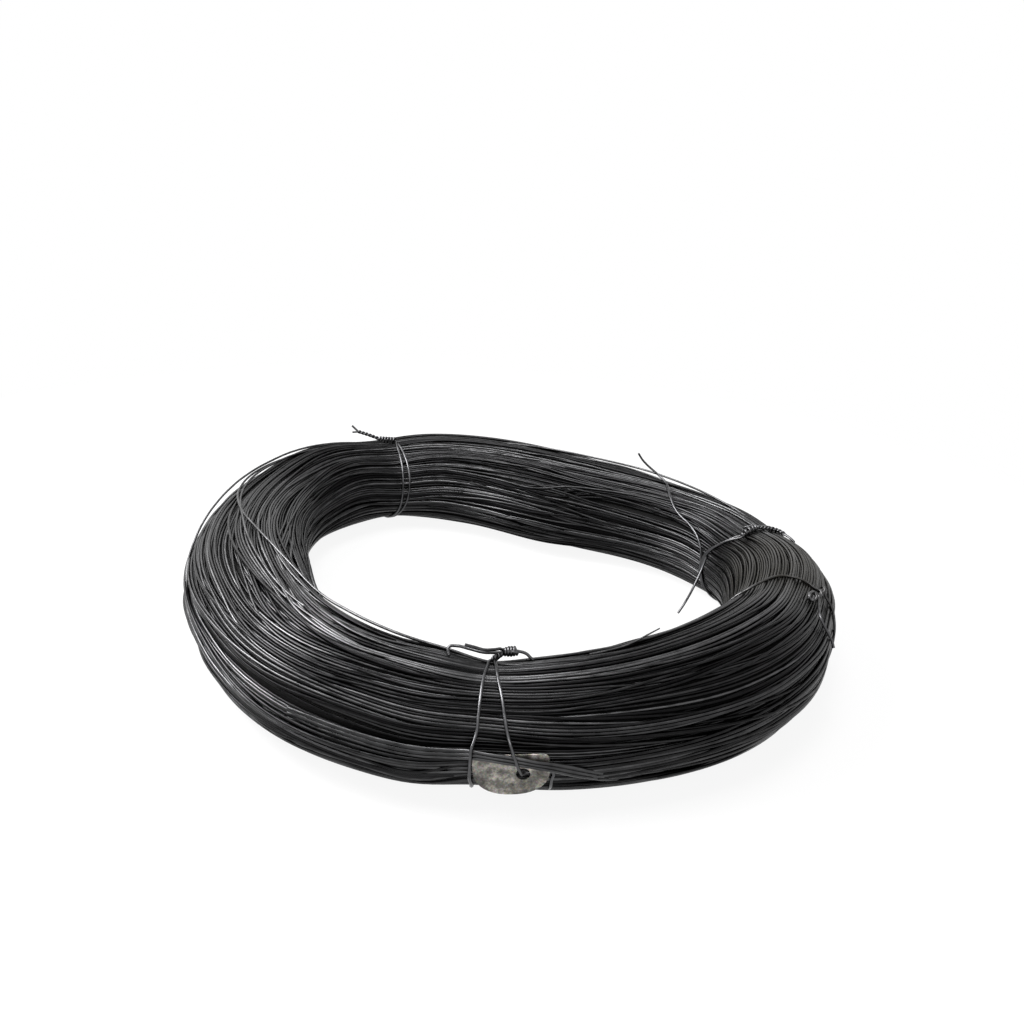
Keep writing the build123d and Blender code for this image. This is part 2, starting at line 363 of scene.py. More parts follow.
def add_node(nodes, kind, values=None, **settings):
    """A new shader node with its settings and with values for its inputs."""
    node = nodes.new("ShaderNode" + kind)
    for name, value in settings.items():
        setattr(node, name, value)
    for socket, value in (values or {}).items():
        node.inputs[socket].default_value = value
    return node


def scale_group():
    """Node group for the scale on the wire: patches that differ in colour, gloss and height."""
    if "wire scale" in bpy.data.node_groups:
        return bpy.data.node_groups["wire scale"]
    group = bpy.data.node_groups.new("wire scale", "ShaderNodeTree")
    face = group.interface
    for name, kind, value in (
        ("Tone", "NodeSocketFloat", 0.5),
        ("Dark", "NodeSocketColor", (0.02, 0.02, 0.02, 1)),
        ("Light", "NodeSocketColor", (0.05, 0.05, 0.05, 1)),
        ("Dust", "NodeSocketColor", (0.1, 0.09, 0.06, 1)),
        ("Smooth", "NodeSocketFloat", 0.3),
        ("Rough", "NodeSocketFloat", 0.5),
    ):
        face.new_socket(name, in_out="INPUT", socket_type=kind).default_value = value
    face.new_socket("Colour", in_out="OUTPUT", socket_type="NodeSocketColor")
    face.new_socket("Roughness", in_out="OUTPUT", socket_type="NodeSocketFloat")
    face.new_socket("Height", in_out="OUTPUT", socket_type="NodeSocketFloat")
    nodes, links = group.nodes, group.links
    given = nodes.new("NodeGroupInput")
    made = nodes.new("NodeGroupOutput")
    coordinates = add_node(nodes, "TexCoord")
    own = add_node(nodes, "Math", {1: 40}, operation="MULTIPLY")
    links.new(given.outputs["Tone"], own.inputs[0])

    def noise(scale, detail):
        """Cloudy noise of its own for each wire."""
        node = add_node(nodes, "TexNoise", {"Scale": scale, "Detail": detail}, noise_dimensions="4D")
        links.new(own.outputs["Value"], node.inputs["W"])
        links.new(coordinates.outputs["Object"], node.inputs["Vector"])
        return node.outputs["Fac"]

    def ramp(source, low, high, out_low=0.0, out_high=1.0):
        """A value spread from one range to another."""
        ends = {"From Min": low, "From Max": high, "To Min": out_low, "To Max": out_high}
        node = add_node(nodes, "MapRange", ends)
        links.new(source, node.inputs["Value"])
        return node.outputs["Result"]

    def mix(kind, factor, first, second):
        """A blend of two numbers or two colours."""
        node = add_node(nodes, "Mix", data_type=kind)
        one_end, other_end, result = MIX_SOCKETS[kind]
        links.new(factor, node.inputs["Factor"])
        links.new(first, node.inputs[one_end])
        links.new(second, node.inputs[other_end])
        return node.outputs[result]

    def product(first, second):
        """Two values multiplied."""
        node = add_node(nodes, "Math", operation="MULTIPLY")
        links.new(first, node.inputs[0])
        links.new(second, node.inputs[1])
        return node.outputs["Value"]

    patches = noise(75, 4)
    grain = noise(600, 3)
    away = add_node(nodes, "VectorMath", {1: DUST_SPOT}, operation="DISTANCE")
    links.new(coordinates.outputs["Object"], away.inputs[0])
    near = ramp(away.outputs["Value"], DUST_NEAR, DUST_FAR, 0.9, 0.05)
    tone = product(given.outputs["Tone"], ramp(patches, 0.3, 0.7, 0.4, 1.3))
    colour = mix("RGBA", tone, given.outputs["Dark"], given.outputs["Light"])
    dusty = product(near, ramp(grain, 0.35, 0.7, 0.25, 1))
    colour = mix("RGBA", dusty, colour, given.outputs["Dust"])
    rough = mix("FLOAT", ramp(patches, 0.3, 0.7), given.outputs["Smooth"], given.outputs["Rough"])
    links.new(colour, made.inputs["Colour"])
    links.new(rough, made.inputs["Roughness"])
    links.new(grain, made.inputs["Height"])
    return group


def scaly_material(name, dark, light, dust, smooth, rough):
    """A material with the scale group in it, and that group's node."""
    material = bpy.data.materials.new(name)
    material.use_nodes = True
    nodes, links = material.node_tree.nodes, material.node_tree.links
    shader = nodes["Principled BSDF"]
    colours = {"Dark": (*dark, 1), "Light": (*light, 1), "Dust": (*dust, 1)}
    gloss = {"Smooth": smooth, "Rough": rough}
    scale = add_node(nodes, "Group", {**colours, **gloss}, node_tree=scale_group())
    links.new(scale.outputs["Colour"], shader.inputs["Base Color"])
    links.new(scale.outputs["Roughness"], shader.inputs["Roughness"])
    return material, scale


def wire_material(name, finish, tone=None, rubbed=False):
    """Black scaly wire; with no tone given, each wire has its own from its mesh."""
    if name in bpy.data.materials:
        return bpy.data.materials[name]
    light = finish.wire_rubbed if rubbed else finish.wire_light
    material, scale = scaly_material(
        name, finish.wire_dark, light, finish.wire_dust, finish.wire_smooth, finish.wire_rough
    )
    nodes, links = material.node_tree.nodes, material.node_tree.links
    shader = nodes["Principled BSDF"]
    shader.inputs["Metallic"].default_value = 1.0
    if tone is None:
        attribute = add_node(nodes, "Attribute", attribute_name="tone")
        links.new(attribute.outputs["Fac"], scale.inputs["Tone"])
    else:
        scale.inputs["Tone"].default_value = tone
    bump = add_node(nodes, "Bump", {"Strength": 0.08, "Distance": 0.0002})
    links.new(scale.outputs["Height"], bump.inputs["Height"])
    links.new(bump.outputs["Normal"], shader.inputs["Normal"])
    return material


def painted_shade_core_material():
    """Dull black painted shade, standing in for the shade that lies between the turns."""
    # Painted shade: colours darker and duller than any wire, so the gaps between the turns look shaded
    dark, light, dust = (0.004, 0.004, 0.004), (0.012, 0.012, 0.012), (0.014, 0.013, 0.011)
    material, _ = scaly_material("dark between the turns", dark, light, dust, 0.8, 0.95)
    shader = material.node_tree.nodes["Principled BSDF"]
    shader.inputs["Specular IOR Level"].default_value = 0.1
    return material


def add_piece(piece, material, slot, *nodes):
    """Give a finished piece its material and its place in the frame."""
    piece.data.materials.clear()
    piece.data.materials.append(material)
    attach(piece, "root")
    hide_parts(*nodes)


def add_mesh(name, mesh):
    """A new object in the scene from a finished mesh."""
    piece = bpy.data.objects.new(name, mesh)
    bpy.context.scene.collection.objects.link(piece)
    return piece


def curve_to_mesh(name, curve):
    """A new mesh object from a curve, selected and active."""
    piece = bpy.data.objects.new(name, curve)
    bpy.context.scene.collection.objects.link(piece)
    bpy.ops.object.select_all(action="DESELECT")
    bpy.context.view_layer.objects.active = piece
    piece.select_set(True)
    bpy.ops.object.convert(target="MESH")
    return bpy.context.view_layer.objects.active


def lay_wires(name, courses, diameter, tip=1.0):
    """Lay round wires along smooth courses as one mesh, each thinning to the tip's share at its end."""
    curve = bpy.data.curves.new(name, "CURVE")
    curve.dimensions = "3D"
    curve.resolution_u = 4
    curve.bevel_depth = diameter / 2
    curve.bevel_resolution = 1
    curve.use_fill_caps = True
    for course in courses:
        spline = curve.splines.new("BEZIER")
        spline.bezier_points.add(len(course) - 1)
        for number, (point, spot) in enumerate(zip(spline.bezier_points, course)):
            point.co = spot
            point.handle_left_type = point.handle_right_type = "AUTO"
            point.radius = 1 + (tip - 1) * number / (len(course) - 1)
    piece = curve_to_mesh(name, curve)
    bpy.ops.object.shade_smooth()
    return piece


def twist(axis, radius, turns, lead=0.0):
    """A strand wound round an axis given as points, with one radius or several along the way."""
    points_in_turn = 8
    axis = np.array(axis)
    run = np.concatenate([[0], np.cumsum(np.linalg.norm(np.diff(axis, axis=0), axis=1))])
    along = np.linspace(0, run[-1], turns * points_in_turn + 1)
    middle = np.column_stack([np.interp(along, run, axis[:, part]) for part in range(3)])
    heading = np.gradient(middle, axis=0)
    heading /= np.linalg.norm(heading, axis=1, keepdims=True)
    side = np.cross(heading, [0.0, 0.0, 1.0])
    side /= np.linalg.norm(side, axis=1, keepdims=True)
    up = np.cross(side, heading)
    turn = lead + np.arange(len(along)) * (2 * math.pi / points_in_turn)
    radii = np.atleast_1d(radius)
    reach = np.interp(along / run[-1], np.linspace(0, 1, len(radii)), radii)[:, None]
    return middle + reach * (side * np.cos(turn)[:, None] + up * np.sin(turn)[:, None])


def ring_round(stops, steps=26):
    """Places round the section through stops of bearing and share, in the order they are given."""
    bearing, share = np.array(stops, float).T
    way = 1 if share[-1] > share[0] else -1
    between = np.linspace(share[0], share[-1], steps)
    return [(np.interp(way * at, way * share, bearing), at, RING_LIFT) for at in between]


def front_tie(spots, diameter):
    """One leg goes right round the bundle, the other down the front and through the tag's hole."""
    half, wide = 0.5 * diameter, 0.95 * diameter
    base = spots(((269.8, 0.325, 2.2), (270.6, 0.322, 4.6), (271.8, 0.332, 7.2)))
    knot = spots(((271.7, 0.333, 7.4), (274.6, 0.331, 8.2)))
    left_end = (
        (264.5, 0.287, 14), (266.5, 0.291, 13), (268, 0.293, 12), (270, 0.309, 11), (271.6, 0.325, 9.6),
    )
    left_leg = (
        (269.4, 0.315, 2), (269, 0.281, 1.5), (268.6, 0.229, 1.3), (268.5, 0.174, 1.3), (268.5, 0.111, 1.3),
        (268.5, 0.08, 1.6), (268.3, 0.062, 4), (268, 0.043, 7.6), (268, 0.028, 7.8), (268, -0.002, 5),
        (268, -0.049, 2.6), (268.4, -0.109, 1.2),
    )
    under = ring_round(((268.2, -0.13), (269, -0.25), (270, -0.5), (270, -0.66)), 18)
    right_end = (
        (273.5, 0.334, 8.2), (275.5, 0.336, 7), (276.7, 0.336, 5), (277.5, 0.334, 2), (278, 0.333, 0.3),
    )
    round_leg = np.vstack(
        [
            spots(left_end),
            twist(knot, (0.8 * wide, 1.3 * wide, 1.1 * wide), 5),
            twist(base, half, 2)[::-1],
            spots(left_leg),
            spots(under),
            twist(base, half, 2, math.pi),
            spots(right_end),
        ]
    )
    tag_leg = (
        (261.4, 0.312, -0.6), (261, 0.322, 4.2), (262.5, 0.322, 6.8), (265, 0.322, 7.2), (268, 0.309, 8),
        (270, 0.32, 7.5), (271.5, 0.328, 6.2), (271.2, 0.328, 4.4), (270.5, 0.318, 2.6), (270.6, 0.279, 1.4),
        (271.0, 0.23, 1.3), (271.8, 0.166, 1.3), (272.5, 0.105, 1.6), (273, 0.072, 4), (273.5, 0.052, 8.8),
        (274.0, 0.035, 11.6), (274.5, 0.016, 10.9), (274.9, 0, 8.8), (275.2, -0.013, 7.0),
        (275.3, -0.019, 4.6), (276.4, -0.022, 2.4), (278.4, -0.014, 2.4), (279.6, -0.014, 3.2),
        (279.7, -0.041, 2.4), (280, -0.092, 1.2), (280, -0.16, 0.9), (279.5, -0.2, 0.9),
    )
    return [round_leg, spots(tag_leg)]


def back_left_tie(spots, diameter):
    """A wire twisted into a packed knot and a forked tail, and a second strand down the bore side."""
    wide = 0.95 * diameter
    knot = spots(((121.0, 0.235, 2.8), (124.3, 0.207, 4.6)))
    tail = spots(((124.3, 0.207, 4.8), (126.8, 0.203, 10.4), (129.0, 0.203, 14.6)))
    ring = (
        (121.2, 0.25), (123, 0.357), (124.6, 0.46), (125.4, 0.574), (126, 0.64), (125, 0.8), (123, 1),
        (121.4, 1.2),
    )
    first = np.vstack(
        [
            spots(((129.8, 0.19, 21),)),
            twist(tail, 0.42 * diameter, 3)[::-1],
            twist(knot, (1.3 * wide, wide, 0.8 * wide), 6)[::-1],
            spots(ring_round(ring)),
            spots(((121.0, 1.225, 3.2), (122, 1.216, 4.8))),
            twist(tail, 0.42 * diameter, 3, math.pi),
            spots(((130.9, 0.222, 15.6),)),
        ]
    )
    second = ((120.9, 0.26), (121.5, 0.338), (122.2, 0.42), (123.4, 0.52), (124.6, 0.58), (125.5, 0.64))
    return [first, spots(ring_round(second, 14))]


def back_right_tie(spots, diameter):
    """A wire twisted on the bundle's top, a second strand, a long springy end and a hanging one."""
    half, wide = 0.5 * diameter, 0.95 * diameter
    knot = spots(((8.6, 0.336, 2.4), (9.5, 0.314, 3.0), (10.5, 0.287, 3.0), (11.6, 0.26, 3.0)))
    tail = spots(
        ((11.6, 0.26, 2.8), (11.6, 0.236, 2.4), (11.6, 0.207, 2.4), (11.2, 0.186, 2.6), (9.8, 0.176, 2.6))
    )
    ring = (
        (8.6, 0.34), (10.4, 0.375), (14.2, 0.45), (15, 0.514), (14, 0.6), (13, 0.8), (12, 1.0), (12.4, 1.1),
        (13.4, 1.17),
    )
    first = np.vstack(
        [
            spots(((6.6, 0.166, 1.2), (8.2, 0.172, 2.4))),
            twist(tail, half, 4)[::-1],
            twist(knot, (0.8 * wide, 1.1 * wide, 0.7 * wide), 5)[::-1],
            spots(ring_round(ring)),
            spots(((13.6, 1.19, 1.5), (12.4, 0.3, 2.0))),
            twist(tail, half, 4, math.pi),
            spots(((8.6, 0.164, 2.2), (7.4, 0.154, 1.0))),
        ]
    )
    second = (
        (10.6, 0.28, 4.0), (9.2, 0.325, 1.6), (10.0, 0.357, 1.1), (12.2, 0.41, 1.1), (14.6, 0.455, 1.1),
        (15.3, 0.52, 1.1), (15.0, 0.58, 0.9),
    )
    springy = (
        (15.2, 0.60, 0.9), (15.3, 0.54, 1.2), (15.6, 0.48, 1.8), (18.3, 0.432, 2.4), (23, 0.402, 2.6),
        (29.5, 0.375, 3.5), (36, 0.315, 4.5), (41, 0.25, 6), (44.5, 0.23, 10), (48.5, 0.242, 22),
        (49.6, 0.255, 31),
    )
    # The hanging end is clear of the bundle, so its points are given in metres
    hanging = np.array(
        [
            (0.1990, 0.0555, 0.0575), (0.1955, 0.0470, 0.0545), (0.1888, 0.0322, 0.0450),
            (0.1835, 0.0245, 0.0350), (0.1726, 0.0053, 0.0250), (0.1667, -0.0012, 0.0180),
        ]
    )
    return [first, spots(second), spots(springy), hanging]


def right_tie(spots, diameter):
    """A wire twisted on the outer shoulder, with one end that hangs down outside."""
    knot = spots(((346.8, 0.15, 1.6), (342.5, 0.166, 3.2), (339, 0.18, 3.0)))
    ring = (
        (345, 0.165), (345.5, 0.2), (346, 0.232), (345.5, 0.279), (343, 0.318), (339.5, 0.35), (338, 0.42),
        (340, 0.6), (341, 0.8), (342, 0.97), (344, 1.08), (345.5, 1.12), (345.5, 1.14),
    )
    hanging = ((336, 0.05, 4), (336.4, 0.068, 2.6), (336, 0.127, 1.6), (339.5, 0.156, 2), (342, 0.172, 4))
    wire = np.vstack(
        [
            spots(hanging),
            twist(knot, 0.8 * diameter, 3)[::-1],
            spots(ring_round(ring)),
            twist(knot, 0.5 * diameter, 2, math.pi),
            spots(((338, 0.185, 5.5), (338.8, 0.192, 7.5))),
        ]
    )
    return [wire]


# Each tie: its name, the node of the CAD part that it replaces, and what lays its wires
TIES = (
    ("tie_front_wire", "tie_front", front_tie),
    ("tie_back_left_wire", "tie_back_left", back_left_tie),
    ("tie_back_right_wire", "tie_back_right", back_right_tie),
    ("tie_right_wire", "tie_right", right_tie),
)

# Turns that stand off the bundle, as stops of bearing, share and millimetres off it
LEFT_HIGH = (
    (204, 0.03, -1), (196, 0.06, 0.5), (188, 0.095, 3), (182.5, 0.122, 6), (176.5, 0.143, 8.5),
    (170, 0.153, 9.5), (162.5, 0.158, 9.5), (153.5, 0.168, 8.5), (143, 0.174, 5), (134, 0.17, 1.5),
    (127, 0.17, -1),
)
LEFT_LOW = (
    (136, 0.19, -0.5), (145, 0.183, 2.5), (152, 0.175, 4.5), (158.5, 0.166, 4.6), (164, 0.168, 3),
    (171, 0.188, 1.8), (178, 0.212, 1.6), (185, 0.232, 1.6), (198, 0.254, 1.6), (210, 0.269, 1.6),
    (219.5, 0.277, 1.4), (228, 0.281, 0.6), (238, 0.285, -1),
)
CROSSING = (
    (140, 0.165, -0.5), (149, 0.16, 3), (156, 0.16, 6), (161, 0.157, 6), (165.5, 0.158, 4),
    (170, 0.173, 2.6), (176, 0.2, 2.2), (183.5, 0.232, 2), (191, 0.266, 2), (201.5, 0.305, 2.2),
    (212, 0.343, 2.6), (225, 0.37, 3.6), (235, 0.37, 4.6), (244, 0.362, 4.8), (252, 0.352, 3.6),
    (261, 0.335, 1.6), (268, 0.322, 0.6), (273, 0.322, -1.6), (280, 0.32, -3),
)
BACK_HIGH = (
    (96, 0.2, -1), (86, 0.202, 1.6), (75.5, 0.2, 3.8), (66, 0.192, 5), (57.5, 0.19, 6.5), (49, 0.205, 8.5),
    (43.5, 0.218, 9), (35.5, 0.218, 7), (30, 0.205, 3.5), (24, 0.2, 0.5), (18, 0.2, -1),
)
BACK_LOW = (
    (76, 0.195, -0.8), (68, 0.194, 1), (60, 0.188, 3.2), (52, 0.186, 3.6), (46, 0.187, 2.4),
    (38, 0.19, -0.6),
)
FRONT_END = (
    (290, 0.338, -1.2), (295, 0.336, -0.4), (298, 0.334, 0.6), (300.5, 0.334, 2.2), (303, 0.33, 5),
    (305.5, 0.324, 8),
)

# Each loose piece: its name, the node that it replaces, the share to which its wire thins at the
# end, and its courses
LOOSE_TURNS = (
    ("loose_left", "loose_turn_left", 1.0, (LEFT_HIGH, LEFT_LOW)),
    ("loose_crossing", "loose_turn_crossing", 1.0, (CROSSING,)),
    ("loose_back", "loose_turn_back", 1.0, (BACK_HIGH, BACK_LOW)),
    ("loose_end", "wire_end_front", 0.5, (FRONT_END,)),
)

# The tag about its middle: the centre and radius of its upper corners, the half width and depth of
# its round lower side, the powers that fill that out, the hole, the thickness and the width of the
# worn edge; then where its middle lies, and how it is turned and tilted, in degrees
TAG_CORNER = (0.0225, 0.0128)
TAG_CORNER_RADIUS = 0.004
TAG_HALF_WIDTH, TAG_DROP, TAG_DROP_FROM = 0.0265, 0.0198, 0.003
TAG_FULL_ACROSS, TAG_FULL_DOWN = 0.88, 0.94
TAG_HOLE = (0.0082, 0.0004)
TAG_HOLE_RADIUS = 0.005
TAG_THICKNESS, TAG_EDGE = 0.0009, 0.0002
TAG_PLACE = (0.0082, -0.285, 0.0384)
TAG_TURN, TAG_TILT = 1.4, -7

# The five turns over the tag's top edge: bearing, the shares of the second and the last of them,
# and millimetres off the bundle; every other one lies higher by the value after
BAND_STOPS = (
    (240, 0.012, -0.01, -4), (250, 0.018, 0, -3.6), (257, 0.021, 0.003, -2.6),
    (261.5, 0.023, 0.006, -1.5), (264, 0.025, 0.009, -0.6), (265.8, 0.028, 0.013, 1),
    (267, 0.032, 0.017, 3), (268.2, 0.035, 0.022, 5.4), (270, 0.036, 0.026, 8.3),
    (272.5, 0.033, 0.022, 8.9), (274.7, 0.029, 0.018, 8.7), (277, 0.023, 0.013, 8.6),
    (279, 0.018, 0.006, 8.1), (282, 0, -0.016, 4.5), (285, -0.023, -0.039, 1.4),
    (288.5, -0.049, -0.066, -0.8), (293, -0.075, -0.095, -3), (300, -0.1, -0.12, -4),
)
BAND_LIFT = 0.9


def tag_outline():
    """Points of the half-round tag about its middle, anticlockwise from the top left."""
    across, up = TAG_CORNER
    points = []
    for turn in np.linspace(math.pi / 2, math.pi, 8):
        points.append((-across + TAG_CORNER_RADIUS * math.cos(turn), up + TAG_CORNER_RADIUS * math.sin(turn)))
    for turn in np.linspace(math.pi, 2 * math.pi, 41):
        beside = math.copysign(abs(math.cos(turn)) ** TAG_FULL_ACROSS, math.cos(turn))
        down = math.copysign(abs(math.sin(turn)) ** TAG_FULL_DOWN, math.sin(turn))
        points.append((TAG_HALF_WIDTH * beside, TAG_DROP_FROM + TAG_DROP * down))
    for turn in np.linspace(0, math.pi / 2, 8):
        points.append((across + TAG_CORNER_RADIUS * math.cos(turn), up + TAG_CORNER_RADIUS * math.sin(turn)))
    return points


def tag_hole():
    """Points round the tag's hole."""
    across, up = TAG_HOLE
    turns = np.linspace(0, 2 * math.pi, 40, endpoint=False)
    radius = TAG_HOLE_RADIUS
    return [(across + radius * math.cos(turn), up + radius * math.sin(turn)) for turn in turns]


def tag_plate():
    """The tag: a flat outline with its hole, filled, thickened, bevelled and set in its place."""
    curve = bpy.data.curves.new("tag_plate", "CURVE")
    curve.dimensions = "2D"
    curve.fill_mode = "BOTH"
    for outline in (tag_outline(), tag_hole()):
        spline = curve.splines.new("POLY")
        spline.points.add(len(outline) - 1)
        for point, (across, up) in zip(spline.points, outline):
            point.co = (across, up, 0, 1)
        spline.use_cyclic_u = True
    tag = curve_to_mesh("tag_plate", curve)
    bpy.ops.object.shade_flat()
    tag.data.transform(Matrix.Rotation(math.radians(90), 4, "X"))
    for modifier, kind, values in (
        ("wall", "SOLIDIFY", {"thickness": TAG_THICKNESS, "offset": 0}),
        ("edge", "BEVEL", {"width": TAG_EDGE, "segments": 2, "limit_method": "ANGLE"}),
    ):
        added = tag.modifiers.new(modifier, kind)
        for name, value in values.items():
            setattr(added, name, value)
        bpy.ops.object.modifier_apply(modifier=modifier)
    turn = Matrix.Rotation(math.radians(TAG_TURN), 4, "Z")
    tilt = Matrix.Rotation(math.radians(TAG_TILT), 4, "Y")
    tag.data.transform(Matrix.Translation(TAG_PLACE) @ turn @ tilt)
    return tag


def band_over_tag(bundle):
    """Points of the turns that hold the tag's top edge."""
    bearing, second, last, lift = np.array(BAND_STOPS, float).T
    band = []
    for row in range(-1, 4):
        share = second + (last - second) * row / 3
        band.append(bundle.spots(np.column_stack([bearing, share, lift + BAND_LIFT * (row % 2)])))
    return band


def tag_material(finish):
    """Thin sheet steel, dull grey with darker stains and pale rubbed spots."""
    material = bpy.data.materials.new("stained tag steel")
    material.use_nodes = True
    nodes, links = material.node_tree.nodes, material.node_tree.links
    shader = nodes["Principled BSDF"]
    shader.inputs["Metallic"].default_value = 0.35
    coordinates = add_node(nodes, "TexCoord")
    wide = add_node(nodes, "TexNoise", {"Scale": 120, "Detail": 6, "Roughness": 0.7})
    fine = add_node(nodes, "TexNoise", {"Scale": 700, "Detail": 4})
    for node in (wide, fine):
        links.new(coordinates.outputs["Object"], node.inputs["Vector"])
    colours = add_node(nodes, "ValToRGB")
    ramp = colours.color_ramp
    ramp.elements[0].position = 0.36
    ramp.elements[0].color = (*finish.tag_stain, 1)
    ramp.elements[1].position = 0.66
    ramp.elements[1].color = (*finish.tag_pale, 1)
    middle = ramp.elements.new(0.5)
    middle.color = (*finish.tag_grey, 1)
    links.new(wide.outputs["Fac"], colours.inputs["Fac"])
    speckle = add_node(nodes, "Mix", {"Factor": 0.5}, data_type="RGBA", blend_type="OVERLAY")
    one_end, other_end, result = MIX_SOCKETS["RGBA"]
    links.new(colours.outputs["Color"], speckle.inputs[one_end])
    links.new(fine.outputs["Color"], speckle.inputs[other_end])
    links.new(speckle.outputs[result], shader.inputs["Base Color"])
    rough = add_node(nodes, "MapRange", {"To Min": 0.45, "To Max": 0.75})
    links.new(fine.outputs["Fac"], rough.inputs["Value"])
    links.new(rough.outputs["Result"], shader.inputs["Roughness"])
    bump = add_node(nodes, "Bump", {"Strength": 0.3, "Distance": 0.0003})
    links.new(wide.outputs["Fac"], bump.inputs["Height"])
    links.new(bump.outputs["Normal"], shader.inputs["Normal"])
    return material


# The floor's size, the distances from the origin over which it brightens to plain white, in metres,
# and how much of its white is glow near the coil
FLOOR_SIZE = 30
FADE_FROM, FADE_TO = 0.45, 0.95
FLOOR_GLOW = 0.9

# The photograph's camera, fitted to the coil's outline: the picture's width and the focal length in
# pixels, the pixel where the aim point over the coil's middle shows, that point's height and the
# camera's distance from it in metres, its elevation and roll in degrees, and its film in millimetres
PICTURE = 1024
FOCAL = 900
AIM_PIXEL = (501.163, 570.264)
AIM_HEIGHT = 0.048
DISTANCE = 0.87817
ELEVATION, ROLL = 27.337, 4.903
SENSOR = 36

# Soft lamps: name, place, what each points at, size in metres and watts
LAMPS = (
    ("key", (-1.0, 0.25, 1.02), (-0.18, -0.18, 0.06), 0.7, 26),
    ("side", (-1.1, -0.05, 1.08), (-0.16, -0.2, 0.06), 0.7, 32),
    ("rim", (-0.86, 0.76, 0.86), (-0.2, -0.14, 0.07), 0.7, 5),
    ("back", (0.2, 1.9, 1.0), (0, 0, 0.05), 0.9, 3),
    ("overhead", (-0.25, -0.1, 2.0), (0, 0, 0), 0.9, 36),
    ("fill", (0.2, -2.2, 1.6), (0, 0, 0), 1.6, 8),
)

# How strongly the white room lights the coil, where 1 is how white it looks
ROOM_LIGHT = 0.45


def seen_directly(nodes, links):
    """A value that is 1 for the camera, for reflections and through glass, and 0 for other light."""
    path = add_node(nodes, "LightPath")
    first = add_node(nodes, "Math", operation="MAXIMUM")
    links.new(path.outputs["Is Camera Ray"], first.inputs[0])
    links.new(path.outputs["Is Glossy Ray"], first.inputs[1])
    second = add_node(nodes, "Math", operation="MAXIMUM")
    links.new(first.outputs["Value"], second.inputs[0])
    links.new(path.outputs["Is Transmission Ray"], second.inputs[1])
    return second.outputs["Value"]


def floor_material():
    """White that takes the coil's shadow near it and glows plain white further off."""
    material = bpy.data.materials.new("white floor")
    material.use_nodes = True
    nodes, links = material.node_tree.nodes, material.node_tree.links
    shader = nodes["Principled BSDF"]
    shader.inputs["Base Color"].default_value = (0.8, 0.8, 0.8, 1)
    shader.inputs["Roughness"].default_value = 1.0
    shader.inputs["Specular IOR Level"].default_value = 0.0
    glow = add_node(nodes, "Emission", {"Strength": 1.0})
    coordinates = add_node(nodes, "TexCoord")
    away = add_node(nodes, "VectorMath", operation="LENGTH")
    links.new(coordinates.outputs["Object"], away.inputs[0])
    fade = {"From Min": FADE_FROM, "From Max": FADE_TO, "To Min": FLOOR_GLOW, "To Max": 1.0}
    far = add_node(nodes, "MapRange", fade)
    links.new(away.outputs["Value"], far.inputs["Value"])
    share = add_node(nodes, "Math", operation="MULTIPLY")
    links.new(seen_directly(nodes, links), share.inputs[0])
    links.new(far.outputs["Result"], share.inputs[1])
    mix = add_node(nodes, "MixShader")
    links.new(share.outputs["Value"], mix.inputs["Fac"])
    links.new(shader.outputs["BSDF"], mix.inputs[1])
    links.new(glow.outputs["Emission"], mix.inputs[2])
    links.new(mix.outputs["Shader"], nodes["Material Output"].inputs["Surface"])
    return material


def add_floor():
    """A wide white floor."""
    bpy.ops.object.select_all(action="DESELECT")
    bpy.ops.mesh.primitive_plane_add(size=FLOOR_SIZE, location=(0, 0, 0))
    floor = bpy.context.active_object
    floor.name = "floor"
    floor.data.materials.append(floor_material())


def add_camera():
    """The photograph's camera: aimed, rolled, and turned so that the aim point shows off centre."""
    camera = bpy.data.objects.new("camera", bpy.data.cameras.new("camera"))
    bpy.context.scene.collection.objects.link(camera)
    bpy.context.scene.camera = camera
    camera.data.sensor_width = SENSOR
    camera.data.lens = FOCAL / PICTURE * SENSOR
    elevation, roll = math.radians(ELEVATION), math.radians(ROLL)
    ahead = Vector((0, math.cos(elevation), -math.sin(elevation)))
    spot = Vector(MIDDLE) + Vector((0, 0, AIM_HEIGHT)) - DISTANCE * ahead
    level = Vector((1, 0, 0))
    upright = level.cross(ahead)
    right = math.cos(roll) * level + math.sin(roll) * upright
    up = math.cos(roll) * upright - math.sin(roll) * level
    across, down = AIM_PIXEL
    aim = Vector(((across - PICTURE / 2) / FOCAL, (PICTURE / 2 - down) / FOCAL, 1)).normalized()
    turn = Vector((0, 0, 1)).rotation_difference(aim).to_matrix()
    right, up, ahead = (Matrix((right, up, ahead)).transposed() @ turn.transposed()).col
    camera.matrix_world = Matrix.Translation(spot) @ Matrix((right, up, -ahead)).transposed().to_4x4()


def add_lamps():
    """Soft square lamps, most of them at the left."""
    for name, location, aim, size, power in LAMPS:
        lamp = bpy.data.lights.new(name, "AREA")
        lamp.size = size
        lamp.energy = power
        light = bpy.data.objects.new(name, lamp)
        light.location = location
        light.rotation_euler = (Vector(aim) - Vector(location)).to_track_quat("-Z", "Y").to_euler()
        bpy.context.scene.collection.objects.link(light)


def add_world():
    """A white room that throws less light on the coil than it shows to the camera."""
    world = bpy.data.worlds.new("white room")
    bpy.context.scene.world = world
    world.use_nodes = True
    nodes, links = world.node_tree.nodes, world.node_tree.links
    background = nodes["Background"]
    background.inputs["Color"].default_value = (1, 1, 1, 1)
    strength = add_node(nodes, "MapRange", {"To Min": ROOM_LIGHT, "To Max": 1.0})
    links.new(seen_directly(nodes, links), strength.inputs["Value"])
    links.new(strength.outputs["Result"], background.inputs["Strength"])


def distance_value(name, value, text):
    """A length that a user can change."""
    return bpy.props.FloatProperty(name=name, default=value, unit="LENGTH", description=text)


def number_value(name, value, text):
    """A plain number that a user can change."""
    kind = bpy.props.IntProperty if isinstance(value, int) else bpy.props.FloatProperty
    return kind(name=name, default=value, description=text)


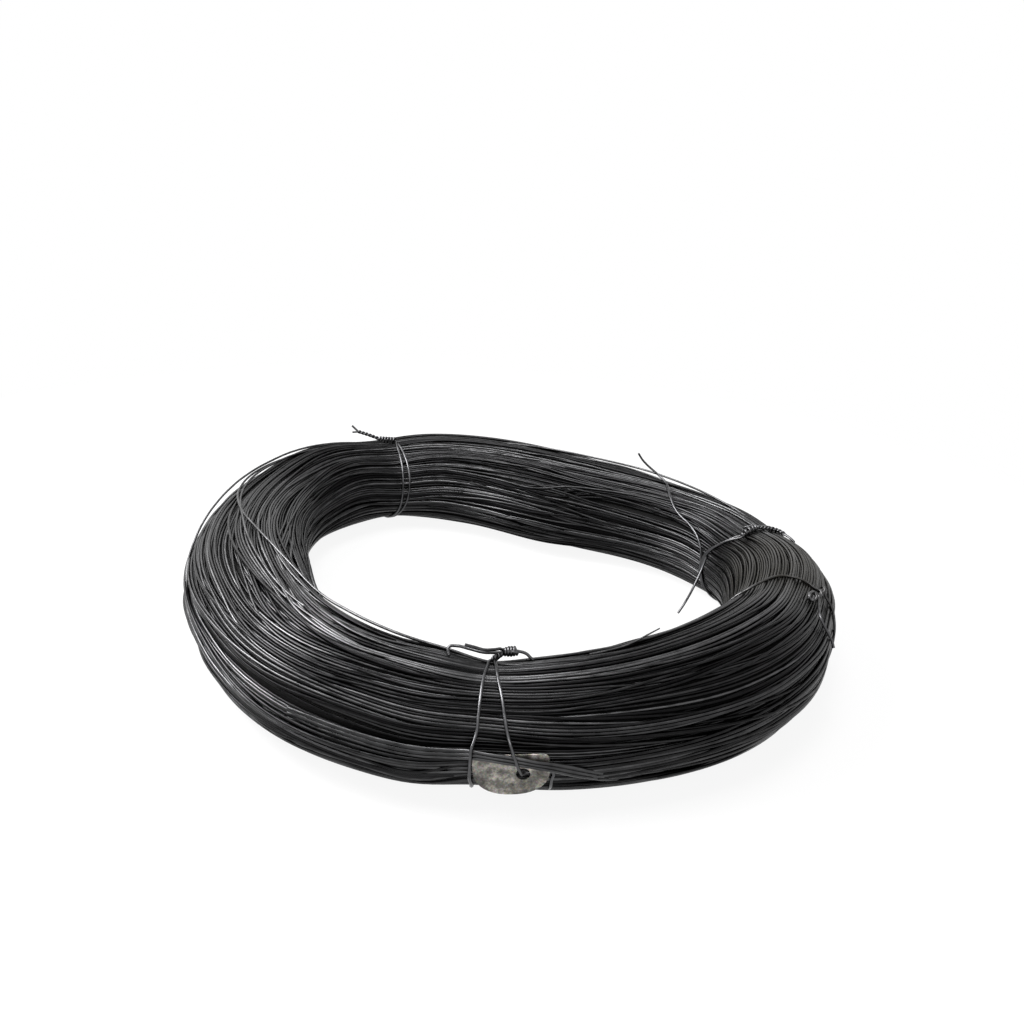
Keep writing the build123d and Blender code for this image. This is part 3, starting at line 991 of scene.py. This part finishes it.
def colour_value(name, value, text):
    """A colour that a user can change."""
    return bpy.props.FloatVectorProperty(name=name, default=value, subtype="COLOR", description=text)


class CoilSizes(bpy.types.PropertyGroup):
    """Sizes of the bundle and of its turns."""

    ring_radius: distance_value("Ring radius", 0.243, "Middle of the bundle from the middle of the coil")
    half_width: distance_value("Half width", 0.053034, "Half the plain width of the bundle")
    half_height: distance_value("Half height", 0.046231, "Half the plain height of the bundle")
    fullness: number_value("Fullness", 2.3, "How square the section is, 2 being an oval")
    tie_pinch: distance_value("Tie pinch", 0.003, "How far a tie pulls the bundle in")
    tie_pinch_spread: number_value("Pinch spread", 9.0, "How far along the coil a tie pulls, in degrees")
    foot: distance_value("Foot", 0.0024, "How far the turns and ties stand out under the bundle")
    wire_diameter: distance_value("Wire", 0.0025, "Wire diameter")
    groups: number_value("Groups", 25, "Groups of turns that lie together on the surface")
    under_turns: number_value("Turns beneath", 100, "Turns in the layer beneath the surface")
    stations: number_value("Stations", 240, "Points in each turn")
    rounds: number_value("Rounds", 44, "Rounds in which the turns are pushed apart")
    seed: number_value("Seed", 7, "Changes how the turns wander")


class CoilFinish(bpy.types.PropertyGroup):
    """Colours and gloss of the wire and the tag."""

    wire_dark: colour_value("Dark wire", (0.004, 0.004, 0.0045), "Darkest scale on the wire")
    wire_light: colour_value("Light wire", (0.078, 0.078, 0.08), "Rubbed scale on the wire")
    wire_rubbed: colour_value("Rubbed wire", (0.1, 0.1, 0.104), "Scale on the ties, polished by twisting")
    wire_dust: colour_value("Dust", (0.03, 0.0265, 0.019), "Dry film and dust on the wire")
    wire_smooth: number_value("Smooth", 0.24, "Roughness of rubbed wire")
    wire_rough: number_value("Rough", 0.42, "Roughness of scaly wire")
    tag_pale: colour_value("Pale tag", (0.37, 0.352, 0.31), "Bare metal of the tag")
    tag_grey: colour_value("Grey tag", (0.12, 0.114, 0.1), "Dull metal of the tag")
    tag_stain: colour_value("Stained tag", (0.028, 0.026, 0.022), "Stains on the tag")


class COIL_OT_turns(bpy.types.Operator):
    """Wind the turns that show and the layer beneath them, as joined meshes"""

    bl_idname = "coil.turns"
    bl_label = "Turns"

    def execute(self, context):
        sizes = context.scene.coil_sizes
        random = np.random.default_rng(sizes.seed + 1)
        spots, normals, surface = wind(sizes)
        black = wire_material("black annealed wire", context.scene.coil_finish)
        tones = random.uniform(DARKEST, 1, len(spots)) ** TONE_POWER
        third = surface // 3
        for name, part, step, sides in (
            ("turns_outside", slice(0, third), 1, 6),
            ("turns_top", slice(third, 2 * third), 1, 6),
            ("turns_bore_side", slice(2 * third, surface), 1, 6),
            ("turns_beneath", slice(surface, None), 2, 5),
        ):
            paths, outward = spots[part, ::step], normals[part, ::step]
            mesh = tube_mesh(name, paths, outward, sizes.wire_diameter * TURN_SHARE / 2, sides, tones[part])
            add_piece(add_mesh(name, mesh), black, "annealed_wire", "wire_coil")
        return {"FINISHED"}


class COIL_OT_core(bpy.types.Operator):
    """Fill the bundle under the modelled turns with one plain dark body, painted shade for the gaps between
    them
    """

    bl_idname = "coil.core"
    bl_label = "Core"

    def execute(self, context):
        sizes = context.scene.coil_sizes
        bundle = Bundle(sizes, CORE_STATIONS)
        share = np.repeat(np.arange(CORE_PLACES)[:, None] / CORE_PLACES, CORE_STATIONS, 1)
        spots, _ = bundle.points(share, np.full_like(share, -CORE_DEPTH * sizes.wire_diameter))
        core = add_mesh("core", grid_mesh("core", spots))
        add_piece(core, painted_shade_core_material(), "annealed_wire", "wire_coil")
        return {"FINISHED"}


class COIL_OT_ties(bpy.types.Operator):
    """Bind the bundle with four ties, each one wire that goes round it and is twisted on itself"""

    bl_idname = "coil.ties"
    bl_label = "Ties"

    def execute(self, context):
        sizes = context.scene.coil_sizes
        bundle = Bundle(sizes, FINE_STATIONS)
        black = wire_material("black tie wire", context.scene.coil_finish, TIE_TONE, True)
        for name, node, lay in TIES:
            courses = lay(bundle.spots, sizes.wire_diameter)
            add_piece(lay_wires(name, courses, sizes.wire_diameter * TIE_SHARE), black, "tie_wire", node)
        return {"FINISHED"}


class COIL_OT_loose_turns(bpy.types.Operator):
    """Lay the turns that stand off the bundle and the loose end at the front"""

    bl_idname = "coil.loose_turns"
    bl_label = "Loose turns"

    def execute(self, context):
        sizes = context.scene.coil_sizes
        bundle = Bundle(sizes, FINE_STATIONS)
        black = wire_material("black loose wire", context.scene.coil_finish, TIE_TONE)
        for name, node, tip, courses in LOOSE_TURNS:
            wires = [bundle.spots(course) for course in courses]
            laid = lay_wires(name, wires, sizes.wire_diameter * LOOSE_SHARE, tip)
            add_piece(laid, black, "annealed_wire", node)
        return {"FINISHED"}


class COIL_OT_tag(bpy.types.Operator):
    """Cut the half-round tag with its hole, and lay the turns that hold its top edge"""

    bl_idname = "coil.tag"
    bl_label = "Tag"

    def execute(self, context):
        sizes, finish = context.scene.coil_sizes, context.scene.coil_finish
        add_piece(tag_plate(), tag_material(finish), "tag_steel", "tag")
        black = wire_material("black loose wire", finish, TIE_TONE)
        band = band_over_tag(Bundle(sizes, FINE_STATIONS))
        laid = lay_wires("turns_over_tag", band, sizes.wire_diameter * TIE_SHARE)
        add_piece(laid, black, "annealed_wire", "wire_coil")
        return {"FINISHED"}


class COIL_OT_stage(bpy.types.Operator):
    """Set the white floor, the lights and the camera"""

    bl_idname = "coil.stage"
    bl_label = "Stage"

    def execute(self, context):
        add_floor()
        add_camera()
        add_lamps()
        add_world()
        context.scene.view_settings.view_transform = "Standard"
        return {"FINISHED"}


class COIL_PT_panel(bpy.types.Panel):
    """The sizes and finishes, and a button for each step"""

    bl_label = "Wire coil"
    bl_space_type = "VIEW_3D"
    bl_region_type = "UI"
    bl_category = "Wire coil"

    def draw(self, context):
        for group in (context.scene.coil_sizes, context.scene.coil_finish):
            box = self.layout.box()
            for name in group.__annotations__:
                box.prop(group, name)
        for step in STEPS:
            self.layout.operator(step.bl_idname)


STEPS = (COIL_OT_turns, COIL_OT_core, COIL_OT_ties, COIL_OT_loose_turns, COIL_OT_tag, COIL_OT_stage)
CLASSES = (CoilSizes, CoilFinish, *STEPS, COIL_PT_panel)


def register():
    """Make the classes and the coil's values known to Blender."""
    for item in CLASSES:
        bpy.utils.register_class(item)
    bpy.types.Scene.coil_sizes = bpy.props.PointerProperty(type=CoilSizes)
    bpy.types.Scene.coil_finish = bpy.props.PointerProperty(type=CoilFinish)


def unregister():
    """Take them out again."""
    del bpy.types.Scene.coil_finish
    del bpy.types.Scene.coil_sizes
    for item in reversed(CLASSES):
        bpy.utils.unregister_class(item)


def main():
    """Make every piece and the stage."""
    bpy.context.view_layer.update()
    register()
    bpy.ops.coil.turns()
    bpy.ops.coil.core()
    bpy.ops.coil.ties()
    bpy.ops.coil.loose_turns()
    bpy.ops.coil.tag()
    bpy.ops.coil.stage()


if __name__ == "__main__":
    main()
